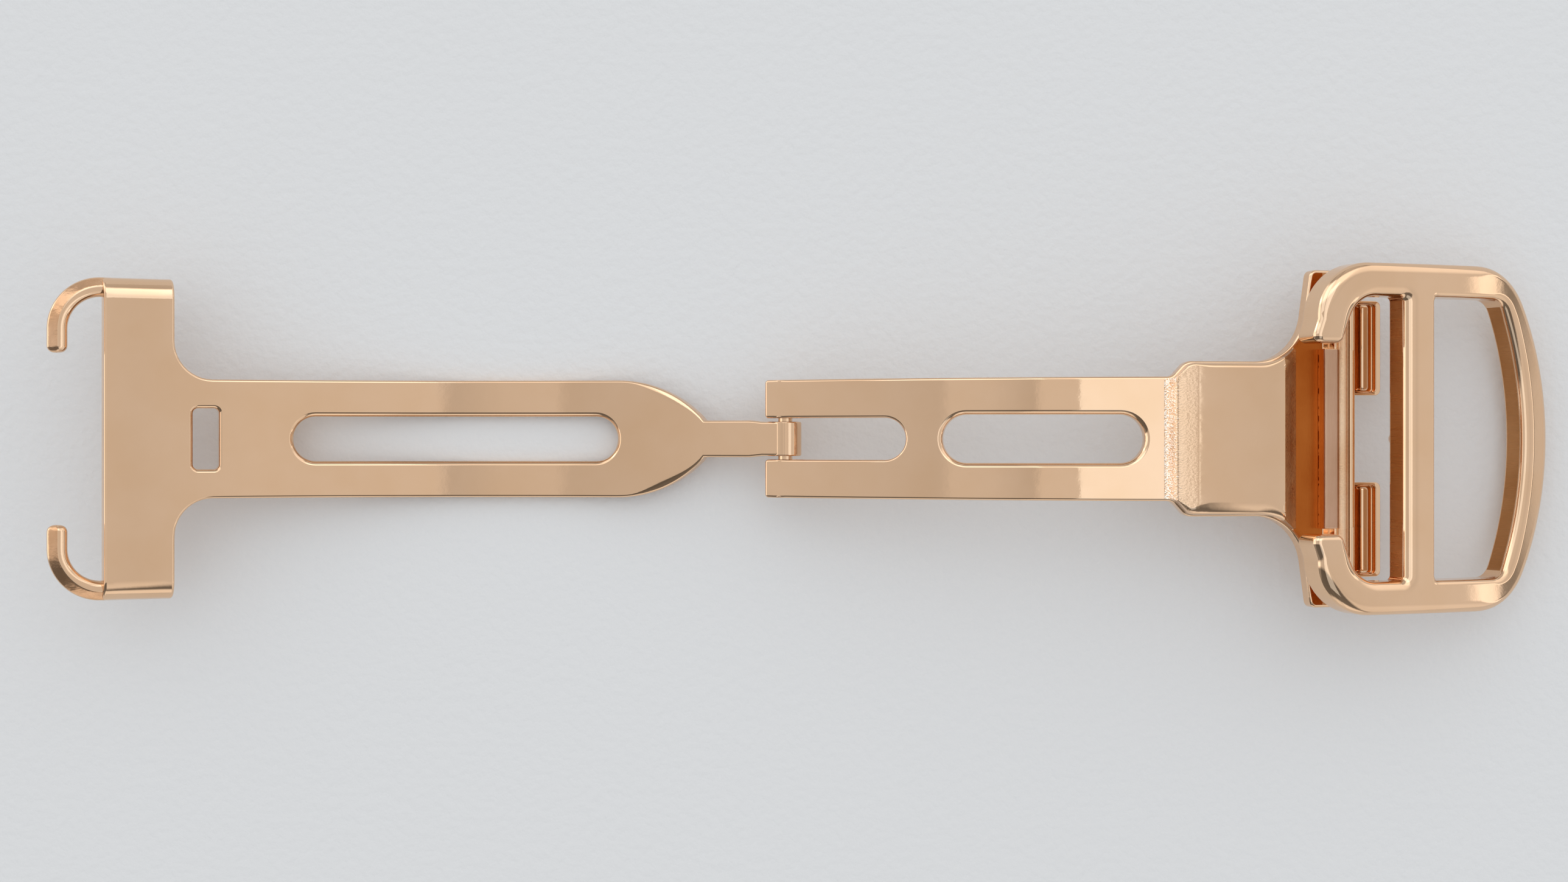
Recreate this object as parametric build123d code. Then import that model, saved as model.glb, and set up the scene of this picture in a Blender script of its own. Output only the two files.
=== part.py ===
from build123d import *
from math import acos, asin, atan2, cos, degrees, hypot, pi, radians, sin, sqrt, tan
import os

os.makedirs("parts", exist_ok=True)

# All sizes are in millimetres and all angles in degrees. The open clasp lies along X,
# its long blade to the left and its buckle to the right. A station is a distance along
# the curve from the blade hinge, and a level is a height above that curve.

# Half widths. The frame is the widest piece, and the others keep a set distance inside it.
frame_half = 9.88
rail_width = 1.88
tab_side_gap = 0.05
wing_setback = 0.23
head_setback = 0.55
prong_reach = 4.56
plate_setback = 0.92

# Curve of both blades, which nest in each other when the clasp is shut
nest_radius = 45.55
hinge_slope = 23.0
blade_gap = 0.3
blade_thickness = 0.8

# Blade hinge
pin_radius = 0.42
pin_fit = 0.03
pin_recess = 0.06
knuckle_half = 1.0
knuckle_side_gap = 0.2
ear_end_station = 0.9

# Long blade
long_half = 3.475
tongue_half = 1.08
tongue_neck_start = 1.1
tongue_neck_end = 1.9
shoulder_end = 4.8
shoulder_radius = 6.8
long_slot_start = 10.25
long_slot_end = 29.85
long_slot_half = 1.32
slot_bevel = 0.27
window_start = 34.18
window_end = 35.7
window_half = 1.78
window_corner = 0.3
window_bevel = 0.2

# Head of the long blade, a plate with both sides bent down into ears
head_start = 36.75
head_end = 40.8
head_fillet = 2.2
head_bend = 1.2
ear_drop = 2.0
ear_corner = 0.85

# Guard hooks beside the head
hook_radius = 0.57
hook_turn = 2.45
hook_tip = 0.85
hook_inset = 0.6
hook_depth = 0.1
hook_seat = 0.15

# Sprung bar between the ears of the head
bar_station = 38.75
bar_depth = 1.15
bar_tube_radius = 0.75
bar_tube_bore = 0.5
bar_end_gap = 0.12
bar_fit = 0.03
bar_shaft_length = 2.2
bar_nose_radius = 0.36
bar_nose_reach = 0.6
spring_wire = 0.09
spring_turns = 20

# Short blade, which widens to the lower plate of the buckle
short_half = 3.42
short_half_far = 3.52
ear_slot_end = 7.45
short_slot_start = 9.5
short_slot_end = 20.75
short_slot_half = 1.37
shoulder_start = 22.2
plate_start = 23.0
wing_start = 30.0
wing_end = 32.95
wing_corner = 0.4
wing_lean = 8.0
flare_radius = 3.0
tab_end = 34.88
tab_corner = 0.35
notch_half = 2.5
tray_depth = 0.35
tray_rim = 0.34
tray_end_rim = 0.16

# Grip bars for the strap, raised in the trays of the two tabs
grip_start = 33.35
grip_width = 0.55
grip_rise = 0.35
grip_end_gap = 0.1
grip_round = 0.12

# Upper plate on the neck of the short blade
neck_start = 21.8
neck_ramp = 0.35
neck_end = 28.45
neck_thickness = 0.8
neck_inset = 0.12
neck_shoulder_half = 3.2
neck_bevel = 0.9
neck_bevel_drop = 0.55
prong_side_gap = 0.2

# Rest bar that the strap runs over, which also holds the frame's rod
rest_start = 30.85
rest_land = 0.74
rest_end = 32.77
rest_fall = 0.12
bearing_wall = 0.15
rod_station = 32.05
rod_radius = 0.4
rod_sink = 0.35
rod_fit = 0.03

# Buckle frame with its two prongs and its crossbar
frame_lift = 1.1
frame_height = 1.7
frame_mid = 38.0
frame_end = 43.9
frame_end_radius = 16.5
frame_corner = 3.9
crossbar_start = 34.15
crossbar_end = 35.85
opening_end = 42.15
opening_end_radius = 18.5
opening_corner = 1.1
prong_turn = 3.2
prong_turn_end = 29.05
prong_tip_start = 28.62
prong_tip_corner = 0.8
prong_inner_start = 32.5
prong_inner_turn = 1.7
prong_lean = 24.0
frame_round = 0.55
lug_radius = 0.8
lug_width = 1.0
lug_gap = 0.12

# Post under the crossbar for the strap's hole
post_station = 35.1
post_radius = 0.5
post_tenon_radius = 0.35
post_tenon_end_radius = 0.25
post_reach = 1.0
post_taper = 0.15
post_taper_length = 0.3
post_seat = 0.6

overrun = 2.0

opening_half = frame_half - rail_width
tab_half = opening_half - tab_side_gap
wing_half = frame_half - wing_setback
head_half = frame_half - head_setback
prong_tip_half = frame_half - prong_reach
plate_half = prong_tip_half - plate_setback
blade_low = blade_gap / 2
blade_high = blade_low + blade_thickness
rest_level = blade_high + neck_thickness
rod_level = rest_level - rod_sink
frame_low = rest_level + frame_lift
frame_high = frame_low + frame_height
ear_slot_half = knuckle_half + knuckle_side_gap
ear_inner = head_half - blade_thickness
tube_half = ear_inner - bar_end_gap
rest_half = prong_tip_half - prong_side_gap
lug_inner = tab_half + lug_gap
lug_outer = lug_inner + lug_width


def bend_angle(station):
    """Angle from upright of the curve's normal at a station, in radians."""
    return station / nest_radius - radians(hinge_slope)


def short_point(station, level):
    """Side view place, as x and z, of a point on the short blade's side of the hinge."""
    reach = nest_radius + level
    turn = bend_angle(station)
    start = radians(hinge_slope)
    return nest_radius * sin(start) + reach * sin(turn), reach * cos(turn) - nest_radius * cos(start)


def long_point(station, level):
    """The same on the long blade's side: the short side's point turned half round the hinge."""
    x, z = short_point(station, -level)
    return -x, -z


def short_plane(station, level=0.0):
    """Plane on the short side: x along the curve away from the hinge, z out of its top."""
    x, z = short_point(station, level)
    turn = bend_angle(station)
    return Plane(origin=(x, 0, z), x_dir=(cos(turn), 0, -sin(turn)), z_dir=(sin(turn), 0, cos(turn)))


def long_plane(station, level=0.0):
    """Plane on the long side: x along the curve away from the hinge, z out of its top."""
    x, z = long_point(station, level)
    turn = bend_angle(station)
    return Plane(origin=(x, 0, z), x_dir=(-cos(turn), 0, sin(turn)), z_dir=(sin(turn), 0, cos(turn)))


def bent_block(point, corners, low_y, high_y):
    """Solid whose side view has these stations and levels as corners, bent along the curve."""
    edges = []
    for (s0, l0), (s1, l1) in zip(corners, corners[1:] + corners[:1]):
        first, last = point(s0, l0), point(s1, l1)
        middle = point((s0 + s1) / 2, (l0 + l1) / 2)
        edges.append(Line(first, last) if s0 == s1 else ThreePointArc(first, middle, last))
    face = Plane.XZ * make_face(edges)
    return Pos(0, high_y, 0) * extrude(face, amount=high_y - low_y)


def bent_sheet(point, start, end, low, high, low_y, high_y):
    corners = [(start, low), (end, low), (end, high), (start, high)]
    return bent_block(point, corners, low_y, high_y)


def both_sides(shape):
    """A shape and its mirror image across the clasp's centre line."""
    return shape + mirror(shape, about=Plane.XZ)


def mirrored_face(edges):
    """Face whose outline is these edges and their mirror image across the centre line."""
    return make_face(edges + [mirror(edge, about=Plane.XZ) for edge in edges])


def pillar(sketch, plane=Plane.XY):
    """Solid that passes right through the clasp, with the sketch as its section."""
    return extrude(plane * sketch, amount=nest_radius, both=True)


def bar_across(plane, radius, low_y, high_y):
    """Cylinder along Y, centred on the plane's origin in the side view."""
    place = Plane(origin=(plane.origin.X, low_y, plane.origin.Z), x_dir=(1, 0, 0), z_dir=(0, 1, 0))
    return extrude(place * Circle(radius), amount=high_y - low_y)


def plan_x(point, station, level=blade_high):
    return point(station, level)[0]


def edges_at(shape, point, level):
    """Edges of a shape that lie all along one level of the curve."""
    side = -1 if point is short_point else 1
    centre_x, centre_z = point(0, side * nest_radius)
    reach = nest_radius - side * level
    near = blade_gap / 10

    def on_level(spot):
        return abs(hypot(spot.X - centre_x, spot.Z - centre_z) - reach) < near

    return ShapeList(e for e in shape.edges() if all(on_level(e @ share) for share in (0, 0.5, 1)))


def rim_of(shape, point, left, right, half_width):
    """Top edges round the opening that lies between two stations, named left to right."""
    low_x = plan_x(point, left) - blade_gap
    high_x = plan_x(point, right) + blade_gap

    def beside_opening(edge):
        middle = edge @ 0.5
        return low_x < middle.X < high_x and abs(middle.Y) < half_width + blade_gap

    return edges_at(shape, point, blade_high).filter_by(beside_opening)


def slot_cutter(point, plane_at, start, end, half_width):
    """Long slot with round ends, cut square to the blade at its middle."""
    plane = plane_at((start + end) / 2)
    (x0, z0), (x1, z1) = point(start, blade_high), point(end, blade_high)
    ends = [plane.to_local_coords(Vector(x, 0, z)).X for x, z in ((x0, z0), (x1, z1))]
    return pillar(Pos(sum(ends) / 2, 0) * SlotOverall(abs(ends[1] - ends[0]), 2 * half_width), plane)


def long_outline():
    """Plan of the long blade from its tongue to its head."""
    x_hinge, x_neck, x_tongue, x_shoulder, x_head, x_end = [
        plan_x(long_point, station)
        for station in (0, tongue_neck_start, tongue_neck_end, shoulder_end, head_start, head_end)
    ]
    turn = acos((tongue_half - long_half + shoulder_radius) / shoulder_radius)
    x_full = x_shoulder - shoulder_radius * sin(turn)
    middle = (x_full + shoulder_radius * sin(turn / 2), long_half - shoulder_radius * (1 - cos(turn / 2)))
    corner = head_fillet * (1 - 1 / sqrt(2))
    flat_half = head_half - head_bend
    return mirrored_face([
        Line((x_hinge, 0), (x_hinge, knuckle_half)),
        Line((x_hinge, knuckle_half), (x_neck, knuckle_half)),
        Line((x_neck, knuckle_half), (x_tongue, tongue_half)),
        Line((x_tongue, tongue_half), (x_shoulder, tongue_half)),
        ThreePointArc((x_shoulder, tongue_half), middle, (x_full, long_half)),
        Line((x_full, long_half), (x_head + head_fillet, long_half)),
        ThreePointArc((x_head + head_fillet, long_half), (x_head + corner, long_half + corner),
                      (x_head, long_half + head_fillet)),
        Line((x_head, long_half + head_fillet), (x_head, flat_half)),
        Line((x_head, flat_half), (x_end, flat_half)),
        Line((x_end, flat_half), (x_end, 0)),
    ])


def head_channel():
    """Head plate with both its sides bent down into ears, swept along the curve."""
    x, z = long_point(head_start, 0)
    turn = bend_angle(head_start)
    section = Plane(origin=(x, 0, z), x_dir=(0, 1, 0), z_dir=(-cos(turn), 0, sin(turn)))
    inner_bend = head_bend - blade_thickness
    flat_half = head_half - head_bend
    slant = 1 / sqrt(2)
    top, low, tip = -blade_high, -blade_low, ear_drop - blade_low
    half = [
        Line((0, top), (flat_half, top)),
        ThreePointArc((flat_half, top), (flat_half + head_bend * slant, top + head_bend * (1 - slant)),
                      (head_half, top + head_bend)),
        Line((head_half, top + head_bend), (head_half, tip)),
        Line((head_half, tip), (ear_inner, tip)),
        Line((ear_inner, tip), (ear_inner, low + inner_bend)),
        ThreePointArc((ear_inner, low + inner_bend),
                      (flat_half + inner_bend * slant, low + inner_bend * (1 - slant)), (flat_half, low)),
        Line((flat_half, low), (0, low)),
    ]
    face = section * make_face(half + [mirror(edge, about=Plane.YZ) for edge in half])
    centre_x, centre_z = long_point(0, nest_radius)
    swept = revolve(face, Axis((centre_x, 0, centre_z), (0, 1, 0)),
                    revolution_arc=degrees((head_end - head_start) / nest_radius))
    return swept & ear_profile()


def ear_profile():
    """Side view of the head that rounds the lower corners of its ears."""
    plane = long_plane((head_start + head_end) / 2, blade_low)
    side = Plane(origin=plane.origin, x_dir=plane.x_dir, z_dir=(0, 1, 0))
    length = head_end - head_start
    sketch = Pos(0, (overrun - ear_drop) / 2) * Rectangle(length, ear_drop + overrun)
    rounded = fillet(sketch.vertices().group_by(Axis.Y)[0], ear_corner)
    return extrude(side * rounded, amount=head_half, both=True)


def long_blade():
    sheet = bent_sheet(long_point, 0, head_end, blade_low, blade_high, -head_half, head_half)
    blade = sheet & pillar(long_outline())
    blade += head_channel()
    blade -= slot_cutter(long_point, long_plane, long_slot_start, long_slot_end, long_slot_half)
    window = RectangleRounded(window_end - window_start, 2 * window_half, window_corner)
    blade -= pillar(window, long_plane((window_start + window_end) / 2))
    slot_rim = rim_of(blade, long_point, long_slot_end, long_slot_start, long_slot_half)
    blade = chamfer(slot_rim, slot_bevel)
    window_rim = rim_of(blade, long_point, window_end, window_start, window_half)
    blade = chamfer(window_rim, window_bevel)
    blade += bar_across(Plane.XY, blade_high, -knuckle_half, knuckle_half)
    blade -= bar_across(Plane.XY, pin_radius + pin_fit, -head_half, head_half)
    blade -= bar_across(bar_plane(), bar_nose_radius + bar_fit, -head_half, head_half)
    return blade - both_sides(guard_hook())


def guard_hook():
    """Round guard hook on the positive side: out of the ear, round a quarter, and in."""
    y_stem = head_half - hook_inset
    plane = long_plane(head_end, blade_low - hook_depth)
    path = [
        Line((-hook_seat, y_stem), (0, y_stem)),
        ThreePointArc((0, y_stem),
                      (hook_turn / sqrt(2), y_stem - hook_turn * (1 - 1 / sqrt(2))),
                      (hook_turn, y_stem - hook_turn)),
        Line((hook_turn, y_stem - hook_turn), (hook_turn, y_stem - hook_turn - hook_tip)),
    ]
    flipped = Plane(origin=plane.origin, x_dir=plane.x_dir, z_dir=(-plane.z_dir.X, 0, -plane.z_dir.Z))
    wire = flipped * Wire(path)
    section = Plane(origin=wire @ 0, z_dir=wire % 0) * Circle(hook_radius)
    tip = wire @ 1
    return sweep(section, path=wire) + Pos(tip.X, tip.Y, tip.Z) * Sphere(hook_radius)


def bar_plane():
    return long_plane(bar_station, blade_low - bar_depth)


def strap_bar_tube():
    outer = bar_across(bar_plane(), bar_tube_radius, -tube_half, tube_half)
    return outer - bar_across(bar_plane(), bar_tube_bore, -tube_half, tube_half)


def strap_bar_tip():
    """Plunger on the positive side: a shaft in the tube and a nose in the ear's hole."""
    shaft = bar_across(bar_plane(), bar_tube_bore - bar_fit, tube_half - bar_shaft_length, tube_half)
    return shaft + bar_across(bar_plane(), bar_nose_radius, tube_half, ear_inner + bar_nose_reach)


def strap_bar_spring():
    """Coil spring in the tube, from one plunger to the other."""
    length = 2 * (tube_half - bar_shaft_length) - 2 * spring_wire - 2 * bar_fit
    coil_radius = bar_tube_bore - spring_wire - bar_fit
    helix = Helix(pitch=length / spring_turns, height=length, radius=coil_radius)
    start = Plane(origin=helix @ 0, z_dir=helix % 0)
    coil = sweep(start * Circle(spring_wire), path=helix)
    place = bar_plane().origin
    along = Plane(origin=(place.X, -length / 2, place.Z), x_dir=(1, 0, 0), z_dir=(0, 1, 0))
    return along * coil


def blade_hinge_pin():
    return bar_across(Plane.XY, pin_radius, pin_recess - short_half, short_half - pin_recess)


def flare_x():
    """Plan place where the flare's arc starts, which ends at the wing on a slight lean."""
    return plan_x(short_point, wing_start) - flare_radius * cos(radians(wing_lean))


def short_outline():
    """Plan of the short blade and of the lower plate that it widens to."""
    x_ear, x_shoulder, x_plate, x_wing = [
        plan_x(short_point, station)
        for station in (-ear_end_station, shoulder_start, plate_start, wing_start)
    ]
    x_wing_end, x_tab, x_notch = [plan_x(short_point, station) for station in (wing_end, tab_end, rest_end)]
    lean = radians(wing_lean)
    turn = pi / 2 - lean
    x_flare = flare_x()
    flare_y = plate_half + flare_radius
    flare_knee = (x_flare + flare_radius * sin(turn / 2), flare_y - flare_radius * cos(turn / 2))
    flare_top = (x_wing, flare_y - flare_radius * sin(lean))
    corner_y = wing_half - wing_corner
    corner_x = x_wing + (corner_y - flare_top[1]) * tan(lean) + wing_corner / cos(lean)
    corner_foot = (corner_x - wing_corner * cos(lean), corner_y + wing_corner * sin(lean))
    corner_knee = (corner_x - wing_corner * sin(turn / 2), corner_y + wing_corner * cos(turn / 2))
    tab_round = tab_corner * (1 - 1 / sqrt(2))
    return mirrored_face([
        Line((x_ear, 0), (x_ear, short_half)),
        Line((x_ear, short_half), (x_shoulder, short_half_far)),
        Line((x_shoulder, short_half_far), (x_plate, plate_half)),
        Line((x_plate, plate_half), (x_flare, plate_half)),
        ThreePointArc((x_flare, plate_half), flare_knee, flare_top),
        Line(flare_top, corner_foot),
        ThreePointArc(corner_foot, corner_knee, (corner_x, wing_half)),
        Line((corner_x, wing_half), (x_wing_end, wing_half)),
        Line((x_wing_end, wing_half), (x_wing_end, tab_half)),
        Line((x_wing_end, tab_half), (x_tab, tab_half)),
        Line((x_tab, tab_half), (x_tab, notch_half + tab_corner)),
        ThreePointArc((x_tab, notch_half + tab_corner), (x_tab - tab_round, notch_half + tab_round),
                      (x_tab - tab_corner, notch_half)),
        Line((x_tab - tab_corner, notch_half), (x_notch, notch_half)),
        Line((x_notch, notch_half), (x_notch, 0)),
    ])


def short_blade():
    sheet = bent_sheet(short_point, -ear_end_station, tab_end, blade_low, blade_high, -wing_half, wing_half)
    blade = sheet & pillar(short_outline())
    blade -= slot_cutter(short_point, short_plane, short_slot_start, short_slot_end, short_slot_half)
    slot_rim = rim_of(blade, short_point, short_slot_start, short_slot_end, short_slot_half)
    blade = chamfer(slot_rim, slot_bevel)
    blade -= slot_cutter(short_point, short_plane, -ear_slot_end, ear_slot_end, ear_slot_half)
    blade += both_sides(bar_across(Plane.XY, blade_high, ear_slot_half, short_half))
    blade -= bar_across(Plane.XY, pin_radius + pin_fit, -wing_half, wing_half)
    lug_start = rod_station - lug_radius - lug_gap
    lug_room = bent_sheet(short_point, lug_start, tab_end, -overrun, rest_level,
                          lug_inner - lug_gap, lug_outer + lug_gap)
    tray = bent_sheet(short_point, rest_end, tab_end - tray_rim, blade_high - tray_depth, rest_level,
                      notch_half + tray_end_rim, tab_half - tray_end_rim)
    return blade - both_sides(lug_room) - both_sides(tray)


def strap_grip_bar():
    """Raised bar in the tray on the positive side."""
    low_y = notch_half + tray_end_rim + grip_end_gap
    high_y = tab_half - tray_end_rim - grip_end_gap
    top = blade_high + grip_rise
    low = blade_high - tray_depth
    bar = bent_sheet(short_point, grip_start, grip_start + grip_width, low, top, low_y, high_y)
    return fillet(edges_at(bar, short_point, top), grip_round)


def neck_plate():
    """Upper plate: a ramp up from the blade, a flat neck and a bevel down to the channel."""
    end = neck_end + neck_bevel
    side = bent_block(short_point, [
        (neck_start, blade_high), (end, blade_high), (end, rest_level - neck_bevel_drop),
        (neck_end, rest_level), (neck_start + neck_ramp, rest_level),
    ], -plate_half - flare_radius, plate_half + flare_radius)
    half = plate_half - neck_inset
    x_start, x_full, x_end = [plan_x(short_point, s) for s in (neck_start, plate_start, end)]
    x_flare = flare_x()
    reach = flare_radius + neck_inset
    turn = acos((plate_half + flare_radius - rest_half) / reach)
    middle = (x_flare + reach * sin(turn / 2), plate_half + flare_radius - reach * cos(turn / 2))
    outline = mirrored_face([
        Line((x_start, 0), (x_start, neck_shoulder_half)),
        Line((x_start, neck_shoulder_half), (x_full, half)),
        Line((x_full, half), (x_flare, half)),
        ThreePointArc((x_flare, half), middle, (x_flare + reach * sin(turn), rest_half)),
        Line((x_flare + reach * sin(turn), rest_half), (x_end, rest_half)),
        Line((x_end, rest_half), (x_end, 0)),
    ])
    return side & pillar(outline)


def strap_rest_bar():
    """Bar with the satin land, grooved for the rod, with narrower bearings at its ends."""
    land_end = rest_start + rest_land
    low = rest_level - rest_fall
    middle = bent_block(short_point, [
        (rest_start, blade_high), (rest_end, blade_high), (rest_end, low), (land_end + rest_fall, low),
        (land_end, rest_level), (rest_start, rest_level),
    ], -rest_half, rest_half)
    bearing_start = rod_station - rod_radius - bearing_wall
    bearing = bent_sheet(short_point, bearing_start, rest_end, blade_high, low, rest_half, tab_half)
    groove = bar_across(short_plane(rod_station, rod_level), rod_radius + rod_fit, -tab_half, tab_half)
    return middle + both_sides(bearing) - groove


def frame_hinge_rod():
    return bar_across(short_plane(rod_station, rod_level), rod_radius, -lug_outer, lug_outer)


def frame_x(station):
    """Place of a station in the frame's own plane, which touches the curve at frame_mid."""
    x, z = short_point(station, (frame_low + frame_high) / 2)
    return short_plane(frame_mid).to_local_coords(Vector(x, 0, z)).X


def rounded_end(x_end, half, end_radius, corner):
    """Arcs from the middle of a D's end to its straight side, and where that side begins."""
    centre = x_end - end_radius
    x_corner = centre + sqrt((end_radius - corner) ** 2 - (half - corner) ** 2)
    turn = atan2(half - corner, x_corner - centre)
    touch = (centre + end_radius * cos(turn), end_radius * sin(turn))
    halfway = (centre + end_radius * cos(turn / 2), end_radius * sin(turn / 2))
    lean = (turn + radians(90)) / 2
    knee = (x_corner + corner * cos(lean), half - corner + corner * sin(lean))
    arcs = [ThreePointArc((x_end, 0), halfway, touch), ThreePointArc(touch, knee, (x_corner, half))]
    return arcs, x_corner


def frame_outline():
    """Plan of the frame: a D whose open end turns in to two prongs."""
    arcs, x_corner = rounded_end(frame_x(frame_end), frame_half, frame_end_radius, frame_corner)
    x_turned, x_tip, x_inner, x_bar = [
        frame_x(station) for station in (prong_turn_end, prong_tip_start, prong_inner_start, crossbar_start)
    ]
    slant = 1 / sqrt(2)
    x_turn = x_turned + prong_turn
    y_turn = frame_half - prong_turn
    lean = radians(prong_lean)
    y_inner = opening_half - prong_inner_turn
    knee = (x_inner - prong_inner_turn * cos(lean), y_inner + prong_inner_turn * sin(lean))
    half_turn = (radians(90) + lean) / 2
    bend = (x_inner - prong_inner_turn * cos(half_turn), y_inner + prong_inner_turn * sin(half_turn))
    x_tip_end = knee[0] - (knee[1] - prong_tip_half) * tan(lean)
    face = mirrored_face(arcs + [
        Line((x_corner, frame_half), (x_turn, frame_half)),
        ThreePointArc((x_turn, frame_half), (x_turn - prong_turn * slant, y_turn + prong_turn * slant),
                      (x_turned, y_turn)),
        Line((x_turned, y_turn), (x_tip, prong_tip_half)),
        Line((x_tip, prong_tip_half), (x_tip_end, prong_tip_half)),
        Line((x_tip_end, prong_tip_half), knee),
        ThreePointArc(knee, bend, (x_inner, opening_half)),
        Line((x_inner, opening_half), (x_bar, opening_half)),
        Line((x_bar, opening_half), (x_bar, 0)),
    ])
    tips = [v for v in face.vertices() if abs(abs(v.Y) - prong_tip_half) < blade_gap]
    return fillet(tips, prong_tip_corner)


def opening_outline():
    """Plan of the D-shaped opening between the crossbar and the frame's end."""
    arcs, x_corner = rounded_end(frame_x(opening_end), opening_half, opening_end_radius, opening_corner)
    x_bar = frame_x(crossbar_end)
    return mirrored_face(arcs + [
        Line((x_corner, opening_half), (x_bar, opening_half)),
        Line((x_bar, opening_half), (x_bar, 0)),
    ])


def frame_lug():
    """Lug under the rail on the positive side, which turns on the rod."""
    plane = short_plane(rod_station, rod_level)
    rise = frame_low - rod_level + frame_round
    block = Pos(0, (lug_inner + lug_outer) / 2, rise / 2) * Box(2 * lug_radius, lug_width, rise)
    return plane * block + bar_across(plane, lug_radius, lug_inner, lug_outer)


def post_tenon():
    """Conical tenon of the strap post, upward from the underside of the crossbar."""
    return Pos(0, 0, post_seat / 2) * Cone(post_tenon_radius, post_tenon_end_radius, post_seat)


def buckle_frame():
    start, end = prong_tip_start - overrun, frame_end + overrun
    shell = bent_sheet(short_point, start, end, frame_low, frame_high, -frame_half, frame_half)
    plane = short_plane(frame_mid)
    frame = shell & pillar(frame_outline(), plane)
    frame -= pillar(opening_outline(), plane)
    frame = fillet(edges_at(frame, short_point, frame_high), frame_round)
    frame += both_sides(frame_lug())
    rod = short_plane(rod_station, rod_level)
    frame -= bar_across(rod, rod_radius + rod_fit, -frame_half, frame_half)
    mouth = Pos(0, 0, -overrun / 2) * Cylinder(post_tenon_radius, overrun)
    return frame - short_plane(post_station, frame_low) * (post_tenon() + mouth)


def strap_post():
    """Round post with a tapered lower end and a conical tenon seated in the crossbar."""
    shaft = post_reach - post_taper_length
    body = Pos(0, 0, -shaft / 2) * Cylinder(post_radius, shaft)
    cone = Pos(0, 0, post_taper_length / 2 - post_reach) * Cone(
        post_radius - post_taper, post_radius, post_taper_length)
    return short_plane(post_station, frame_low) * (post_tenon() + body + cone)


def frame_foot():
    """Side view place, as x and z, of the lower corner at the middle of the frame's end."""
    x_end = frame_x(frame_end)
    rise = sqrt((nest_radius + frame_low) ** 2 - x_end ** 2) - nest_radius
    corner = short_plane(frame_mid).from_local_coords(Vector(x_end, 0, rise))
    return corner.X, corner.Z


def lie_flat(shapes):
    """Tips the open clasp until its belly and the buckle's end touch the ground at z = 0."""
    centre_x, centre_z = long_point(0, nest_radius)
    belly = nest_radius - blade_low
    end_x, end_z = frame_foot()
    away = hypot(end_x - centre_x, end_z - centre_z)
    tip = atan2(end_z - centre_z, end_x - centre_x) + asin(belly / away)
    turned = {name: Rot(0, degrees(tip), 0) * shape for name, shape in shapes.items()}
    box = Compound(list(turned.values())).bounding_box()
    move = Pos(-box.center().X, -box.center().Y, -box.min.Z)
    return {name: move * shape for name, shape in turned.items()}


def clasp():
    tip = strap_bar_tip()
    hook = guard_hook()
    grip = strap_grip_bar()
    across = Plane.XZ
    return lie_flat({
        "long_blade": long_blade(),
        "upper_guard_hook": hook,
        "lower_guard_hook": mirror(hook, about=across),
        "strap_bar_tube": strap_bar_tube(),
        "strap_bar_upper_tip": tip,
        "strap_bar_lower_tip": mirror(tip, about=across),
        "strap_bar_spring": strap_bar_spring(),
        "blade_hinge_pin": blade_hinge_pin(),
        "short_blade": short_blade(),
        "neck_plate": neck_plate(),
        "strap_rest_bar": strap_rest_bar(),
        "upper_grip_bar": grip,
        "lower_grip_bar": mirror(grip, about=across),
        "frame_hinge_rod": frame_hinge_rod(),
        "buckle_frame": buckle_frame(),
        "strap_post": strap_post(),
    })


for name, shape in clasp().items():
    export_step(shape, f"parts/{name}.step")
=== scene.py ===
import bpy
import numpy as np
from mathutils import Matrix
from mathutils.geometry import delaunay_2d_cdt


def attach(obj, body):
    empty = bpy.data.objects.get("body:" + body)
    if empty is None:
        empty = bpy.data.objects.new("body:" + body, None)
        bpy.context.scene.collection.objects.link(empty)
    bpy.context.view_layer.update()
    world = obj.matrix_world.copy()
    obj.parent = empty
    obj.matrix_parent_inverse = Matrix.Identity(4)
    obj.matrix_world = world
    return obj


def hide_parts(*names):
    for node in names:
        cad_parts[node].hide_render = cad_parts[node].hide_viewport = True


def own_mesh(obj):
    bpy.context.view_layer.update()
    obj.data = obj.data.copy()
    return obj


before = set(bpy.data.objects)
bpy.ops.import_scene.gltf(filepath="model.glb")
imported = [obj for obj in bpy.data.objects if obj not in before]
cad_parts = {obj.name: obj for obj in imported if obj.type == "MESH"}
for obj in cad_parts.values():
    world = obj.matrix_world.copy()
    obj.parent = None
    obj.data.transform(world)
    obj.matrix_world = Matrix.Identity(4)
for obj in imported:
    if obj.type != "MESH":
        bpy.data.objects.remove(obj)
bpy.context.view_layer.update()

# Long blade
# A strip of gilt brass 0.8 mm thick, stamped with a slot and a window, bent to the curve
# of the wrist and polished. The sides of its head are folded down into two ears.

# Sizes are in mm. A place on a blade is its station along the curve from the hinge, its
# distance across from the middle line, and its level over the curve.
curve_radius = 45.55
hinge_slope = np.radians(23.0)
clasp_tilt = np.radians(2.2963)
hinge_x, hinge_z = -1.1424, 2.7916
blade_low, blade_high = 0.15, 0.95
knuckle_radius, pin_hole = 0.95, 0.45
tongue_end, tongue_half, tongue_slant = 4.8, 1.08, 0.5
blade_half, shoulder_radius = 3.475, 6.8
shoulder_start, shoulder_run = 4.9, 4.6
head_start, head_end, head_flare = 36.75, 40.8, 2.2
head_flat, head_bend = 8.13, 1.2
ear_foot, ear_corner = 11.615, 0.85
bar_station, ear_hole_at, ear_hole_radius = 38.75, 10.765, 0.39


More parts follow.
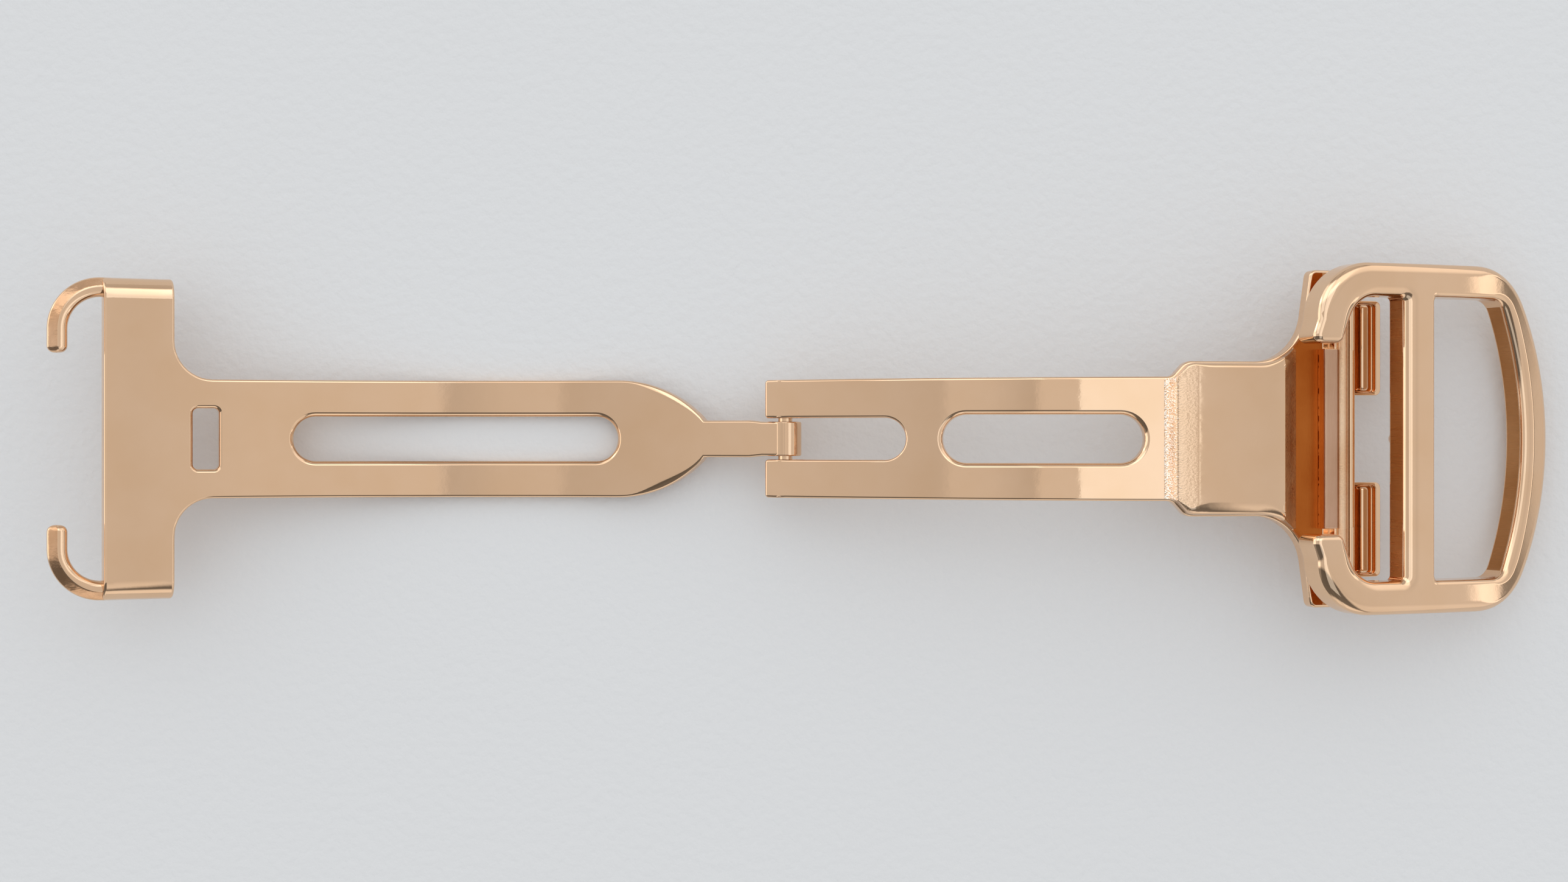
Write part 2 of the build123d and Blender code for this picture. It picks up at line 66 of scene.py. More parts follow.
def side_view(station, level, side):
    """Row x and z of a point at a station along the curve and a level above it, in mm. The
    station over the radius, less the slope at the hinge, is the angle about the curve's
    centre, and the long blade, side -1, is the short one turned half round the hinge."""
    turn = station / curve_radius - hinge_slope
    reach = curve_radius + side * level
    x = side * (curve_radius * np.sin(hinge_slope) + reach * np.sin(turn))
    z = side * (reach * np.cos(turn) - curve_radius * np.cos(hinge_slope))
    cos, sin = np.cos(clasp_tilt), np.sin(clasp_tilt)
    return hinge_x + x * cos + z * sin, hinge_z - x * sin + z * cos


def row_place(station, across, level, side):
    """Row place in metres of a station, a distance across and a level in mm."""
    x, z = side_view(station, level, side)
    return np.column_stack([x, across, z]) / 1000


def distance_at(station, side):
    """Level distance from the hinge to a station of a blade's top face."""
    reach = curve_radius + side * blade_high
    return curve_radius * np.sin(hinge_slope) + reach * np.sin(station / curve_radius - hinge_slope)


def station_at(distance, side):
    """Station of a blade's top face at a level distance from the hinge: distance_at undone."""
    reach = curve_radius + side * blade_high
    turn = np.arcsin((distance - curve_radius * np.sin(hinge_slope)) / reach)
    return (turn + hinge_slope) * curve_radius


def off_the_pin(station, level):
    """Level of a sheet's points near the hinge: the lower face rises round the pin's hole,
    by the height of a circle of the hole's radius, and the upper face stays."""
    rise = np.sqrt(np.clip(pin_hole**2 - station**2, 0, None)) - blade_low
    share = (blade_high - level) / (blade_high - blade_low)
    return level + np.clip(rise, 0, None) * np.clip(share, 0, 1)


def on_long_blade(local):
    """Row place, in metres, of station, distance across and level on the long blade's flat
    pattern. Past the flat of the head the distance goes a quarter round the bend, and then
    straight down the ear. The hinge end is cut on a slant, clear of the pin."""
    station, across, level = local.T
    share = (blade_high - level) / (blade_high - blade_low)
    station = station + tongue_slant * share * np.clip(1 - station, 0, None)
    over = np.clip(np.abs(across) - head_flat, 0, None)
    angle = np.clip(over / head_bend, 0, np.pi / 2)
    reach = head_bend - (blade_high - level)
    y = np.sign(across) * (np.minimum(np.abs(across), head_flat) + reach * np.sin(angle))
    level = blade_high - head_bend + reach * np.cos(angle) - (over - head_bend * angle)
    return row_place(station, y, level, -1)


def arc(centre, radius, first, last, count):
    """Points of a circle from a first to a last angle in degrees: its centre, and the
    radius times the cosine and the sine of the angle."""
    angle = np.radians(np.linspace(first, last, count))
    return np.column_stack([centre[0] + radius * np.cos(angle), centre[1] + radius * np.sin(angle)])


def rounded(corners, radii, count=8):
    """Closed outline through corner points, each rounded with its radius: the arc starts
    radius * tan(turn / 2) before the corner, and turns about a centre square to the edge."""
    point = np.array(corners, float) @ [1, 1j]
    radius = np.broadcast_to(np.array(radii, float), point.shape)
    before = point - np.roll(point, 1)
    after = np.roll(point, -1) - point
    before, after = before / np.abs(before), after / np.abs(after)
    turn = np.angle(after / before)
    start = point - before * radius * np.abs(np.tan(turn / 2))
    centre = start + before * 1j * np.sign(turn) * radius
    share = np.linspace(0, 1, count)[None, :]
    bent = centre[:, None] + (start - centre)[:, None] * np.exp(1j * turn[:, None] * share)
    return np.column_stack([bent.real.ravel(), bent.imag.ravel()])


def mirrored(half):
    """Closed outline from its half on the positive side and that half's mirror image."""
    return np.vstack([half, half[::-1] * [1, -1]])


def divided(points, step, hole=False, creases=()):
    """Closed outline with its long runs divided: the corners keep their place along the
    way round, with points where the outline crosses a crease's station, and evenly spaced
    points go in where none of these is near. It runs with the metal on its left, so a
    hole's outline runs the other way round."""
    following = np.roll(points, -1, axis=0)
    points = points[np.linalg.norm(following - points, axis=1) > 1e-6]
    following = np.roll(points, -1, axis=0)
    area = np.sum(points[:, 0] * following[:, 1] - points[:, 1] * following[:, 0])
    if (area > 0) == hole:
        points = points[::-1]
    closed = np.vstack([points, points[:1]])
    way = np.concatenate([[0], np.cumsum(np.linalg.norm(np.diff(closed, axis=0), axis=1))])
    corners = way
    run = np.diff(closed[:, 0])
    for station in creases:
        share = (station - closed[:-1, 0]) / np.where(run == 0, 1e9, run)
        crossed = (share > 0.01) & (share < 0.99)
        corners = np.concatenate([corners, (way[:-1] + share * np.diff(way))[crossed]])
    corners = np.unique(np.round(corners, 6))
    even = np.linspace(0, way[-1], int(way[-1] / step), endpoint=False)
    nearest = np.abs(even[:, None] - corners[None, :]).min(axis=1)
    way_points = np.sort(np.concatenate([corners[corners < way[-1] - 1e-5], even[nearest > step / 2]]))
    return np.column_stack([np.interp(way_points, way, closed[:, k]) for k in (0, 1)])


def unit(vectors):
    """Vectors over their lengths."""
    return vectors / np.linalg.norm(vectors, axis=-1, keepdims=True)


def outward(points):
    """Direction out of the metal at each point of an outline, long enough to keep a moved
    outline parallel: the sum of both edges' normals over one plus their cosine."""
    edge = unit(np.roll(points, -1, axis=0) - points)
    normal = np.column_stack([edge[:, 1], -edge[:, 0]])
    before = np.roll(normal, 1, axis=0)
    return (before + normal) / (1 + np.sum(before * normal, axis=1))[:, None]


def edge_rows(points, rim, low, high, count=7):
    """Rows of a plate's edge from the rim of its lower face to the rim of its upper one,
    as local points and normals. The upper rounding is the curve u**p + v**p = 1, p = 2 for
    a circle and nearly 1 for a soft bevel, as wide and high as the rim says. The lower one
    is a quarter circle, or where the plate has a floor, a hollow fillet down to it."""
    out = outward(points)
    angle = np.linspace(0, np.pi / 2, count)
    cos, sin = np.cos(angle[::-1])[:, None], np.sin(angle[::-1])[:, None]
    width, height, foot = [
        np.broadcast_to(np.asarray(rim.get(key, 0.08), float), len(points))
        for key in ("width", "height", "foot")
    ]
    power, floor = rim.get("power", 2.0), rim.get("floor")
    along, up = np.cos(angle) ** (2 / power), np.sin(angle) ** (2 / power)
    hollow = -1 if floor is not None else 1
    foot_in = hollow * (1 - cos) * foot
    foot_level = (low if floor is None else floor) + (1 - sin) * foot
    inset = np.vstack([foot_in, (1 - along)[:, None] * width])
    level = np.vstack([foot_level, high - (1 - up)[:, None] * height])
    steep, flat = along ** (power - 1), up ** (power - 1)
    sideways = np.vstack([np.tile(cos, len(points)), steep[:, None] / width])
    upright = np.vstack([np.tile(-hollow * sin, len(points)), flat[:, None] / height])
    place = points[None] - out[None] * inset[..., None]
    rows = np.dstack([place, level[..., None]])
    normals = np.dstack([unit(out)[None] * sideways[..., None], upright[..., None]])
    return rows, unit(normals)


def inside(points, rings):
    """Whether each point lies within an odd number of rings: a ray from it towards the
    first axis crosses their edges an odd number of times."""
    x, y = points[:, None, 0], points[:, None, 1]
    count = np.zeros(len(points), int)
    for a in rings:
        b = np.roll(a, -1, axis=0)
        with np.errstate(divide="ignore", invalid="ignore"):
            at = a[:, 0] + (y - a[:, 1]) * (b[:, 0] - a[:, 0]) / (b[:, 1] - a[:, 1])
        count += (((a[:, 1] > y) != (b[:, 1] > y)) & (x < at)).sum(axis=1)
    return count % 2 == 1


def filled(rings, spacing, creases=()):
    """Triangles of the flat face within rings, and the points put inside it: a grid at the
    spacing with a line of points on each crease, less what comes near a ring, joined up as
    a constrained Delaunay mesh."""
    rim = np.vstack(rings)
    low, high = rim.min(axis=0), rim.max(axis=0)
    lines = [np.arange(low[k], high[k], spacing[k]) for k in (0, 1)]
    if len(creases):
        apart = np.abs(lines[0][:, None] - np.array(creases)[None]).min(axis=1)
        lines[0] = np.concatenate([lines[0][apart > 0.1], creases])
    grid = np.stack(np.meshgrid(*lines), -1).reshape(-1, 2)
    grid = grid[inside(grid, rings)]
    gap = np.array([np.linalg.norm(grid - r, axis=1) for r in rim]).min(axis=0)
    grid = grid[gap > 0.35 * min(spacing)]
    points = np.vstack([rim, grid])
    sizes = [len(ring) for ring in rings]
    starts = np.cumsum([0] + sizes[:-1])
    edges = np.vstack([
        np.column_stack([start + np.arange(size), start + (np.arange(size) + 1) % size])
        for start, size in zip(starts, sizes)
    ])
    found = delaunay_2d_cdt([tuple(p) for p in points], edges.tolist(), [], 0, 1e-7)
    new_faces, came_from = found[2], found[3]
    source = np.array([kept[0] for kept in came_from])
    triangles = source[np.array(new_faces)]
    return triangles[inside(points[triangles].mean(axis=1), rings)], grid


def carried(place, local, normals):
    """Row places and normals of local ones. The normals go through the inverse transpose
    of the place function's slopes, which come from steps of a tenth of a micron."""
    step = 1e-4
    slopes = np.stack([place(local + step * e) - place(local - step * e) for e in np.eye(3)], -1)
    slopes *= 1000 / (2 * step)
    turned = np.linalg.solve(np.swapaxes(slopes, 1, 2), normals[..., None])[..., 0]
    return place(local), unit(turned), np.linalg.det(slopes).mean() < 0


def in_scene(name, data):
    """New object of the scene with its data, at the origin."""
    thing = bpy.data.objects.new(name, data)
    bpy.context.scene.collection.objects.link(thing)
    return thing


def as_piece(name, shells, materials, body):
    """Object from shells of places, normals, faces and material numbers, put together and
    smooth with the worked-out normals, which rides on its body."""
    starts = np.cumsum([0] + [len(shell[0]) for shell in shells[:-1]])
    places = np.vstack([shell[0] for shell in shells])
    normals = np.vstack([shell[1] for shell in shells])
    faces, numbers = [], []
    for start, shell in zip(starts, shells):
        for block, number in shell[2]:
            faces += (block + start).tolist()
            numbers += np.broadcast_to(number, len(block)).tolist()
    mesh = bpy.data.meshes.new(name)
    mesh.from_pydata(places.tolist(), [], faces)
    mesh.polygons.foreach_set("use_smooth", np.ones(len(faces), bool))
    mesh.polygons.foreach_set("material_index", np.array(numbers, np.int32))
    for material in materials:
        mesh.materials.append(material)
    mesh.normals_split_custom_set_from_vertices(normals.tolist())
    mesh.update()
    piece = in_scene(name, mesh)
    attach(piece, body)
    return piece


def one_finish(kind, middle):
    """Every face takes the piece's first material."""
    return np.zeros(len(middle), int)


def row_faces(count, around, first=0):
    """Numbers of the points of rows that go once round, and the four-sided faces that join
    each point and the one beside it to the next row's."""
    index = first + np.arange(count * around).reshape(count, around)
    beside = np.roll(index, -1, axis=1)
    return index, np.stack([index[:-1], beside[:-1], beside[1:], index[1:]], -1)


def plate(place, low, high, rims, spacing, creases=(), finish=one_finish):
    """Shell of a plate with openings and pockets. Each rim is an outline with its edge's
    rounding. The rows of the edges are joined by four-sided faces, and the rims of the upper
    face, of the lower one and of each pocket's floor are filled with triangles. The finish
    says which material a face takes, from its kind and its local middle."""
    local, normals, blocks = [], [], []
    tops, lows, floors, size = [], [], [], 0
    for rim in rims:
        rows, row_normals = edge_rows(rim["points"], rim, low, high)
        count, around = rows.shape[:2]
        index, quads = row_faces(count, around, size)
        wall = count // 2 - 1
        for part, kind in ((quads[:wall], "foot"), (quads[wall], "wall"), (quads[wall + 1 :], "edge")):
            blocks.append((part.reshape(-1, 4), kind))
        local.append(rows.reshape(-1, 3))
        normals.append(row_normals.reshape(-1, 3))
        tops.append(index[-1])
        (lows if rim.get("floor") is None else floors).append(index[0])
        size += count * around
    to_fill = [(tops, 1, "top"), (lows, -1, "low")] + [([ring], 1, "floor") for ring in floors]
    edge_points = np.vstack(local)
    for rings, way, kind in to_fill:
        triangles, grid = filled([edge_points[ring, :2] for ring in rings], spacing, creases)
        known = np.concatenate(rings)
        index = np.concatenate([known, size + np.arange(len(grid))])
        level = edge_points[known[0], 2]
        local.append(np.column_stack([grid, np.full(len(grid), level)]))
        normals.append(np.tile([0.0, 0.0, way], (len(grid), 1)))
        triangles = index[triangles]
        blocks.append((triangles if way > 0 else triangles[:, ::-1], kind))
        size += len(grid)
    local = np.vstack(local)
    places, turned, flipped = carried(place, local, np.vstack(normals))
    way = -1 if flipped else 1
    return places, turned, [
        (block[:, ::way], finish(kind, local[block].mean(axis=1))) for block, kind in blocks
    ]


turned_over = [0, 3, 2, 1]


def lathe(profile, axis_point, count):
    """Shell of a bar along Y: a profile of radius and place along Y goes once round the
    axis. The profile runs from the end at the lower Y to the other one, and its normals
    are square to its slope."""
    radius, y = np.array(profile, float).T
    slope = np.gradient(np.column_stack([radius, y]), axis=0)
    slope /= np.linalg.norm(slope, axis=1)[:, None] + 1e-12
    angle = np.linspace(0, 2 * np.pi, count, endpoint=False)
    ring = np.column_stack([np.cos(angle), np.zeros(count), np.sin(angle)])
    along = np.array([0, 1, 0])
    centre = np.array([axis_point[0], 0, axis_point[1]])
    places = centre + radius[:, None, None] * ring[None] + y[:, None, None] * along
    normals = slope[:, 1, None, None] * ring[None] - slope[:, 0, None, None] * along
    quads = row_faces(len(radius), count)[1][..., turned_over].reshape(-1, 4)
    return places.reshape(-1, 3) / 1000, normals.reshape(-1, 3), [(quads, 0)]


def both_ends(half, low_end, high_end):
    """Profile of a bar from that of one end, given as radius and distance in from the end,
    and the same turned round at the other end."""
    half = np.array(half, float)
    return np.vstack([
        np.column_stack([half[:, 0], low_end + half[:, 1]]),
        np.column_stack([half[::-1, 0], high_end - half[::-1, 1]]),
    ])


def round_end(radius, edge, count=6):
    """Profile of a bar's end from its middle out to its full radius, with the edge turned
    over a quarter circle."""
    angle = np.linspace(0, np.pi / 2, count)
    turned = np.column_stack([radius - edge * (1 - np.sin(angle)), edge * (1 - np.cos(angle))])
    return np.vstack([[1e-4, 0], [radius - edge - 0.01, 0], turned, [radius, edge + 0.05]])


def set_up(node, **values):
    """Shader node with its inputs set to values or fed by other nodes' outputs. The inputs'
    names have underscores for spaces here."""
    for key, value in values.items():
        socket = node.inputs[key.replace("_", " ")]
        if isinstance(value, bpy.types.NodeSocket):
            node.id_data.links.new(value, socket)
        else:
            socket.default_value = value
    return node


def node_in(tree, kind, **values):
    """New shader node of a kind, set up. A mix is one of colours."""
    node = tree.nodes.new("ShaderNode" + kind)
    if kind == "Mix":
        node.data_type = "RGBA"
    return set_up(node, **values)


def gold(name, colour, shade, roughness, haze, grain, scratch, stretch=(1, 1, 1), wear_and_glint=None):
    """Metal whose colour drifts between two tones in soft clouds, whose roughness follows a
    finer cloud, and whose surface has a shallow orange-peel and fine scratches, stretched
    along one direction where the metal was brushed. The last argument is a first and a last
    place along the clasp, in metres, between which deeper scratches fade out, and where they
    are deep their colour is painted pale as a glint."""
    material = bpy.data.materials.new(name)
    material.use_nodes = True
    tree = material.node_tree
    whole = node_in(tree, "TexCoord").outputs["Object"]
    brushed = node_in(tree, "Mapping", Vector=whole, Scale=stretch).outputs["Vector"]

    def cloud(scale, detail, source):
        """Noise from 0 to 1, with a scale in waves per metre."""
        return node_in(tree, "TexNoise", Vector=source, Scale=scale, Detail=detail).outputs["Fac"]

    def spread(source, low, high, first, last):
        """Straight run from a first to a last value, as the source goes from low to high."""
        ends = {"From_Min": low, "From_Max": high, "To_Min": first, "To_Max": last}
        return node_in(tree, "MapRange", Value=source, **ends).outputs["Result"]

    def bump(height, strength, distance, **before):
        """Relief as deep as the distance in metres, on top of the normal before it."""
        relief = node_in(tree, "Bump", Height=height, Strength=strength, Distance=distance, **before)
        return relief.outputs["Normal"]

    def mixed_in(factor, first, second):
        """Colour that goes from the first to the second with the factor."""
        return node_in(tree, "Mix", Factor=factor, A=first, B=second).outputs["Result"]

    clouds = cloud(scale=260.0, detail=5.0, source=whole)
    tone = mixed_in(spread(clouds, 0.35, 0.7, 0.0, 1.0), (*colour, 1), (*shade, 1))
    fine = cloud(scale=1400.0, detail=6.0, source=brushed)
    orange_peel = cloud(scale=900.0, detail=2.0, source=whole)
    peel = bump(orange_peel, strength=grain, distance=0.0001)
    scratches = cloud(scale=9000.0, detail=3.0, source=brushed)
    lines = bump(scratches, strength=scratch, distance=0.00002, Normal=peel)
    if wear_and_glint:
        along = node_in(tree, "SeparateXYZ", Vector=whole).outputs["X"]
        product = node_in(tree, "Math")
        product.operation = "MULTIPLY"
        wear = cloud(scale=12000.0, detail=6.0, source=brushed)
        tree.links.new(wear, product.inputs[0])
        tree.links.new(spread(along, wear_and_glint[0], wear_and_glint[1], 1.0, 0.0), product.inputs[1])
        deep = product.outputs["Value"]
        lines = bump(deep, strength=1.0, distance=0.00004, Normal=lines)
        # Painted glint: the deep scratches are painted pale, as the highlight they catch.
        tone = mixed_in(spread(deep, 0.42, 0.6, 0.0, 1.0), tone, (1.0, 0.93, 0.85, 1))
    rough = spread(fine, 0.3, 0.75, roughness, roughness + haze)
    shader = tree.nodes["Principled BSDF"]
    set_up(shader, Metallic=1.0, Base_Color=tone, Roughness=rough, Normal=lines)
    return material


polish = {
    "colour": (0.85, 0.58, 0.38), "shade": (0.82, 0.545, 0.34),
    "roughness": 0.03, "haze": 0.05, "grain": 0.04, "scratch": 0.03,
}
polished_gold = gold("polished_gold", **polish)


def slot_outline(first, last, half):
    """Slot between two stations: a half circle round each end, joined by its sides."""
    return np.vstack([
        arc((first + half, 0), half, 90, 270, 24), arc((last - half, 0), half, -90, 90, 24)
    ])


knuckle_end = np.array([
    [pin_hole, 0.3], [pin_hole, 0.04], [0.49, 0.0], [0.87, 0.0], [0.926, 0.023],
    [knuckle_radius, 0.08],
])


def knuckle(low_end, high_end):
    """Shell of a hinge knuckle, a short tube round the pin from one Y to another. Its edges
    are turned over a little, on the bore and outside."""
    return lathe(both_ends(knuckle_end, low_end, high_end), (hinge_x, hinge_z), 64)


shoulder_turn = np.degrees(np.arccos((tongue_half - blade_half + shoulder_radius) / shoulder_radius))
full_at = distance_at(tongue_end, -1) + shoulder_radius * np.sin(np.radians(shoulder_turn))
shoulder = arc((full_at, blade_half - shoulder_radius), shoulder_radius, 90 + shoulder_turn, 90, 20)
shoulder[:, 0] = station_at(shoulder[:, 0], -1)
long_half = np.vstack([
    [[0, 1.0], [1.1, 1.0], [1.9, tongue_half]],
    shoulder,
    arc((head_start - head_flare, blade_half + head_flare), head_flare, -90, 0, 12),
    arc((head_start + ear_corner, ear_foot - ear_corner), ear_corner, 180, 90, 8),
    arc((head_end - ear_corner, ear_foot - ear_corner), ear_corner, 90, 0, 8),
])
long_slot = slot_outline(10.25, 29.85, 1.32)
long_window = rounded([[34.18, -1.78], [35.7, -1.78], [35.7, 1.78], [34.18, 1.78]], 0.3)
ear_hole = arc((bar_station, ear_hole_at), ear_hole_radius, 0, 345, 24)
long_points = divided(mirrored(long_half), 0.35)
along_shoulder = np.clip((long_points[:, 0] - shoulder_start) / shoulder_run, 0, 1)
at_shoulder = np.sin(np.pi * along_shoulder) ** 2
blade_edge, blade_grid = 0.16, (0.4, 0.5)
shoulder_width, shoulder_height = 0.4, 0.06
slot_rim = {"width": 0.27, "height": 0.24, "power": 1.4}
window_rim = {"width": 0.2, "height": 0.18, "power": 1.4}
hole_rim = {"width": 0.05, "height": 0.05}
long_shell = plate(on_long_blade, blade_low, blade_high, [
    {
        "points": long_points,
        "width": blade_edge + shoulder_width * at_shoulder,
        "height": blade_edge + shoulder_height * at_shoulder,
    },
    {"points": divided(long_slot, 0.3, hole=True), **slot_rim},
    {"points": divided(long_window, 0.2, hole=True), **window_rim},
    {"points": divided(ear_hole, 0.1, hole=True), **hole_rim},
    {"points": divided(ear_hole * [1, -1], 0.1, hole=True), **hole_rim},
], blade_grid)
long_blade = as_piece(
    "gilt_long_blade", [long_shell, knuckle(-0.995, 0.995)], [polished_gold], "long_side"
)
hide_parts("long_blade")

# Guard hooks
# Two round rods of 1.1 mm brass, bent through a quarter turn and brazed to the ends of the
# head. They keep the strap's end in place. Their inner side is filed to a rough facet.
hook_radius, hook_turn, hook_tip = 0.57, 2.45, 0.85
hook_stem, hook_level, hook_dome = 8.73, 0.05, 0.42
facet_angle, facet_at, filed_from, filed_to = 128, 0.43, 98, 165
top_angle, top_at, section_power = 82, 0.5, 20


def facing_out(quads, places, normals, sample):
    """Faces in the order in which a sample one faces along the normal at its first point:
    the cross product of two of its edges, against that normal."""
    a, b, c = places[quads[sample, :3]]
    against = np.dot(np.cross(b - a, c - a), normals[quads[sample, 0]]) < 0
    return quads[:, ::-1] if against else quads


def hook_shell(way):
    """Shell of a hook on the positive or negative side. Its section is a circle with a filed
    facet and a flatter top: the radius is the soft least, with a power of 20, of the circle's
    and of each flat's distance over the cosine from its middle. It is carried along a straight
    stem, a quarter circle and a short straight tip, and shrinks over the end as a dome."""
    bend = np.radians(np.linspace(90, 0, 28))
    bend_end = hook_stem - hook_turn
    path = np.vstack([
        [[-0.15, hook_stem], [-0.05, hook_stem]],
        np.column_stack([hook_turn * np.cos(bend), bend_end + hook_turn * np.sin(bend)]),
        np.column_stack([np.full(4, hook_turn), bend_end - np.linspace(0.15, hook_tip + 0.1, 4)]),
    ])
    dome = np.radians(np.linspace(0, 90, 8))[1:]
    shrink = np.concatenate([np.ones(len(path)), np.cos(dome) ** 0.7])
    along = unit(np.gradient(path, axis=0))
    past = path[-1] + np.outer(np.sin(dome) * hook_dome, along[-1])
    path = np.vstack([path, past])
    along = np.vstack([along, np.tile(along[-1], (len(past), 1))])
    side = np.column_stack([-along[:, 1], along[:, 0]])
    around = 48
    angle = np.linspace(0, 2 * np.pi, around, endpoint=False)
    facet = np.clip(np.cos(angle - np.radians(facet_angle)), 0, None) / facet_at
    top = np.clip(np.cos(angle - np.radians(top_angle)), 0, None) / top_at
    least = hook_radius**-section_power + facet**section_power + top**section_power
    radius = least ** (-1 / section_power)
    out = -(radius * np.cos(angle))[None, :, None] * side[:, None, :] * shrink[:, None, None]
    up = (radius * np.sin(angle))[None, :] * shrink[:, None]
    flat = path[:, None, :] + out
    foot_x, foot_z = side_view(head_end, hook_level, -1)
    over_x, over_z = side_view(head_end, hook_level + 1, -1)
    up_x, up_z = over_x - foot_x, over_z - foot_z
    places = np.stack([
        foot_x - flat[..., 0] * up_z + up * up_x,
        way * flat[..., 1],
        foot_z + flat[..., 0] * up_x + up * up_z,
    ], -1)
    round_way = np.roll(places, -1, axis=1) - np.roll(places, 1, axis=1)
    normals = np.cross(round_way, np.gradient(places, axis=0))
    normals[-1] = places[-1].mean(axis=0) - places[-3].mean(axis=0)
    row = 5
    normals[:-1] *= np.sign(np.sum(normals[row] * (places[row] - places[row].mean(axis=0))))
    quads = row_faces(*places.shape[:2])[1].reshape(-1, 4)
    places, normals = places.reshape(-1, 3), unit(normals).reshape(-1, 3)
    quads = facing_out(quads, places, normals, row * around)
    face_angle = np.tile(np.degrees(angle + angle[1] / 2), len(path) - 1)
    filed = ((face_angle > filed_from) & (face_angle < filed_to)).astype(int)
    return places / 1000, normals, [(quads, filed)]


filed_gold = gold(
    "filed_gold", colour=(0.86, 0.54, 0.33), shade=(0.74, 0.40, 0.20),
    roughness=0.12, haze=0.2, grain=0.9, scratch=0.6, stretch=(0.5, 1, 1),
)
for hook_name, hook_node, way in (
    ("gilt_upper_hook", "upper_guard_hook", 1), ("gilt_lower_hook", "lower_guard_hook", -1)
):
    hook = as_piece(hook_name, [hook_shell(way)], [polished_gold, filed_gold], "long_side")
    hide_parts(hook_node)

# Sprung strap bar
# A tube across the ears of the head with a plunger at each end, which a coil spring of
# steel wire pushes out into the holes of the ears. The fixed half of the strap hangs on it.
bar_axis = side_view(bar_station, -1.0, -1)
tube_half = 8.41
tube_end = [
    [0.5, 1.2], [0.5, 0.03], [0.53, 0], [0.71, 0], [0.739, 0.012], [0.75, 0.04], [0.75, 0.12]
]
bar_tube = as_piece(
    "gilt_bar_tube", [lathe(both_ends(tube_end, -tube_half, tube_half), bar_axis, 48)],
    [polished_gold], "long_side",
)
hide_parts("strap_bar_tube")
nose = np.array([  # radius, and distance from the middle of the bar
    [1e-4, 6.21], [0.44, 6.21], [0.47, 6.25], [0.47, 8.38], [0.44, 8.41], [0.37, 8.412],
    [0.36, 8.43], [0.36, 9.02], [0.345, 9.075], [0.30, 9.115], [0.24, 9.13], [1e-4, 9.13],
])
for tip_name, tip_node, body, way in (
    ("gilt_upper_plunger", "strap_bar_upper_tip", "bar_upper_tip", 1),
    ("gilt_lower_plunger", "strap_bar_lower_tip", "bar_lower_tip", -1),
):
    turned = nose if way > 0 else nose[::-1] * [1, -1]
    plunger = as_piece(tip_name, [lathe(turned, bar_axis, 32)], [polished_gold], body)
    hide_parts(tip_node)
spring_steel = gold(
    "spring_steel", colour=(0.56, 0.57, 0.58), shade=(0.48, 0.48, 0.50),
    roughness=0.2, haze=0.15, grain=0.05, scratch=0.2, stretch=(1, 8, 1),
)
wire, wire_sides, closed_end = 0.09, 12, 0.0005
coil_radius, coil_end, coil_turns, turn_steps = 0.38, 6.09, 10, 24


def coil(way):
    """Half of the spring: a circle of the wire's radius, drawn square to a helix about the
    bar's axis, which rises by the same amount each turn. Both ends are closed flat."""
    whole_turn = 2 * np.pi * coil_turns
    turn = np.linspace(0, whole_turn, turn_steps * coil_turns + 1)
    turn = np.concatenate([turn[:1], turn, turn[-1:]])
    radial = np.column_stack([np.cos(turn), np.zeros(len(turn)), np.sin(turn)])
    along = unit(np.column_stack([
        -coil_radius * np.sin(turn),
        np.full(len(turn), way * coil_end / whole_turn),
        coil_radius * np.cos(turn),
    ]))
    beside = np.cross(along, radial)
    middle = coil_radius * radial + [bar_axis[0], 0, bar_axis[1]]
    middle[:, 1] = way * coil_end * turn / turn[-1]
    angle = np.linspace(0, 2 * np.pi, wire_sides, endpoint=False)
    normals = np.cos(angle)[:, None] * radial[:, None] + np.sin(angle)[:, None] * beside[:, None]
    thick = np.full(len(turn), wire)
    thick[[0, -1]] = closed_end
    places = middle[:, None] + thick[:, None, None] * normals
    normals[0], normals[-1] = -along[0], along[-1]
    quads = row_faces(*places.shape[:2])[1][..., turned_over].reshape(-1, 4)
    places, normals = places.reshape(-1, 3), normals.reshape(-1, 3)
    quads = facing_out(quads, places, normals, 60 * wire_sides)
    return places / 1000, normals, [(quads, 0)]


for coil_name, slide, way in (
    ("steel_upper_coil", "upper_tip_slide", 1), ("steel_lower_coil", "lower_tip_slide", -1)
):
    half_spring = as_piece(coil_name, [coil(way)], [spring_steel], "long_side")
    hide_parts("strap_bar_spring")
    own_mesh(half_spring)

# Short blade
# The same 0.8 mm sheet, with two outer knuckles at the hinge and a slot that takes the
# tongue. It widens to a T-shaped plate under the buckle, with two tabs milled as trays.
wing_angle, flare_radius, neck_side = 8.0, 3.0, 4.4
wing_half, wing_corner = 9.25, 0.4
channel, tray_floor = (29.3, 31.1), 0.6
wing_lean, wing_x = np.radians(wing_angle), distance_at(30.0, 1)
flare_x, flare_y = wing_x - flare_radius * np.cos(wing_lean), neck_side + flare_radius
corner_x = wing_x + (wing_half - flare_y + flare_radius * np.sin(wing_lean)) * np.tan(wing_lean)


def on_short_blade(local):
    """Row place, in metres, of station, distance across and level on the short blade."""
    station, across, level = local.T
    return row_place(station, across, off_the_pin(station, level), 1)


def corner_run(corners, radii, count=8):
    """Rounded corners along a part of an outline. The first and the last point only give the
    direction of the sides there, and are left out."""
    return rounded(corners, [0, *radii, 0], count)[count:-count]


